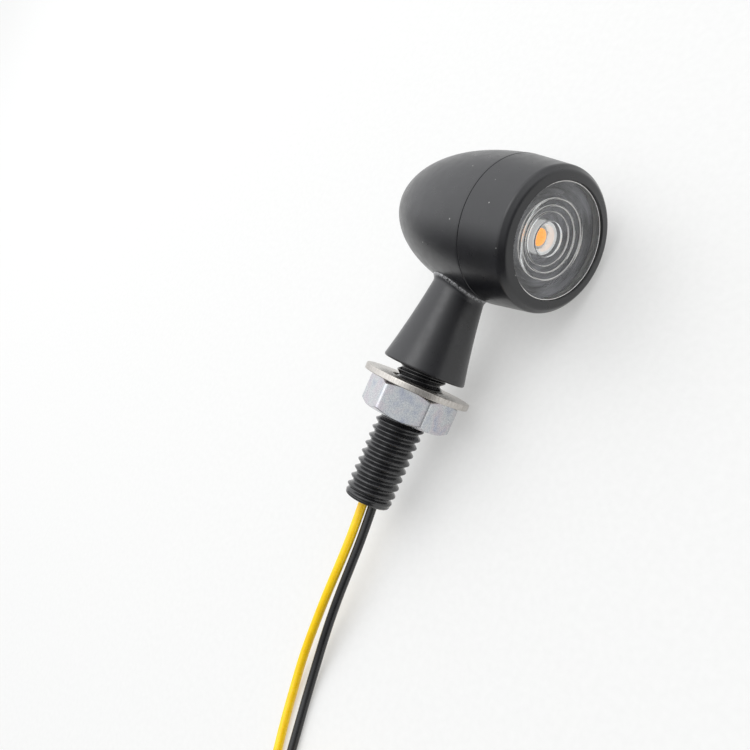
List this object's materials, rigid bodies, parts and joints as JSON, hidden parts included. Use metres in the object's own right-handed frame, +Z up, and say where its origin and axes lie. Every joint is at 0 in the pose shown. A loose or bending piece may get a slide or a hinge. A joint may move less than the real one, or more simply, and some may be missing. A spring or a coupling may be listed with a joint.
{
  "type": "motorcycle turn signal indicator",
  "caption": "Small bullet turn signal lamp with a bezel and clear stepped lens, on a flared stalk and hollow threaded stud with nut, washer and two wire leads.",
  "frame": {"origin": "bottom centre of the lamp's box, without its leads, as it lies on its side on a bench", "axes": "+X is the way the lens faces, +Y runs from the stud's end to the head, +Z is up from the bench"},
  "size_m": [0.0541, 0.1239, 0.0227],
  "materials": {
    "satin_black": "satin black anodised aluminium",
    "stud_black": "semi-gloss black plated thread",
    "lens_clear": "clear polished polycarbonate",
    "silver_optic": "vacuum metallised, slightly grey",
    "amber_phosphor": "glossy amber phosphor",
    "led_white": "glossy white",
    "board_white": "white solder mask",
    "component_black": "matt moulded epoxy",
    "solder": "bright solder",
    "carrier_metal": "turned aluminium",
    "gasket_rubber": "translucent pale silicone",
    "zinc_plate": "bright zinc plate, faintly iridescent",
    "washer_steel": "nickel plate, finely brushed",
    "yellow_pvc": "glossy yellow PVC",
    "black_pvc": "glossy black PVC",
    "tinned_copper": "tinned copper strands",
    "tie_nylon": "natural nylon",
    "seal_resin": "cured black resin"
  },
  "bodies": {
    "lamp": {"rear_shell": "satin_black", "shell_gasket": "gasket_rubber", "board_carrier": "carrier_metal", "circuit_board": "board_white", "reflector": "silver_optic", "collimator_ring": "silver_optic", "led_package": "led_white", "led_die": "amber_phosphor", "ballast_resistors": "component_black", "protection_diode": "component_black", "solder_joints": "solder", "stalk": "satin_black", "stalk_lockwasher": "zinc_plate", "stalk_locknut": "zinc_plate", "threaded_stud": "stud_black", "wire_seal": "seal_resin", "yellow_inner_lead": "yellow_pvc", "black_inner_lead": "black_pvc", "yellow_wire": "yellow_pvc", "black_wire": "black_pvc", "wire_coil": "yellow_pvc", "yellow_wire_end": "yellow_pvc", "black_wire_end": "black_pvc", "yellow_tip": "tinned_copper", "black_tip": "tinned_copper", "wire_tie": "tie_nylon"},
    "lens_set": {"lens": "lens_clear", "lens_gasket": "gasket_rubber"},
    "bezel": {"front_bezel": "satin_black"},
    "washer": {"washer": "washer_steel"},
    "nut": {"nut": "zinc_plate"}
  },
  "joints": [
    {"name": "bezel_lift", "type": "slide", "parent": "lamp", "child": "lens_set", "axis": [1, 0, 0], "range_m": [0, 0.003]},
    {"name": "bezel_turn", "type": "hinge", "parent": "lens_set", "child": "bezel", "pos_m": [0.0023, 0.01811, 0.01136], "axis": [1, 0, 0], "range_deg": [0, 1440]},
    {"name": "washer_travel", "type": "slide", "parent": "lamp", "child": "washer", "axis": [0, -0.9955, -0.0948], "range_m": [-0.002, 0.013]},
    {"name": "nut_turn", "type": "hinge", "parent": "washer", "child": "nut", "pos_m": [0.0023, -0.01221, 0.00847], "axis": [0, -0.9955, -0.0948], "range_deg": [-510, 3310]}
  ],
  "couplings": [
    {"joint": "bezel_lift", "follows": "bezel_turn", "m_per_rad": 0.00011937},
    {"joint": "washer_travel", "follows": "nut_turn", "m_per_rad": 0.00022457}
  ]
}
